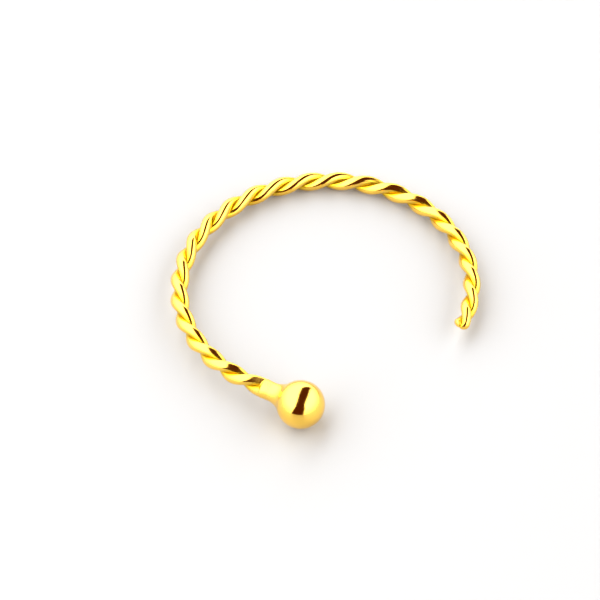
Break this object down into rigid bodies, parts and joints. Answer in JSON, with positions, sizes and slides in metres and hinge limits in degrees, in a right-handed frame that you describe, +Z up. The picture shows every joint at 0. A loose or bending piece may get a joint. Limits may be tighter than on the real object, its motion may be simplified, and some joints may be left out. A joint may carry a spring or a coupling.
{
  "type": "nose ring",
  "caption": "Open nose hoop of twisted round gold wire, with a ball and tapered neck on one end and a plain free end.",
  "frame": {"origin": "on the surface that the ring lies on, under the middle of its box seen from above", "axes": "+Z up from the surface, -Y towards the ball's side and +Y towards the far side of the hoop, +X towards the free end; the ring lies on its side"},
  "size_m": [0.0114, 0.0122, 0.0017],
  "materials": {
    "twisted_gold": "bright polished yellow gold wire, drawn and twisted",
    "ball_gold": "bright polished yellow gold, smooth"
  },
  "bodies": {
    "root": {"wire_strand_a": "twisted_gold", "wire_strand_b": "twisted_gold", "ball_end": "ball_gold"}
  },
  "joints": []
}
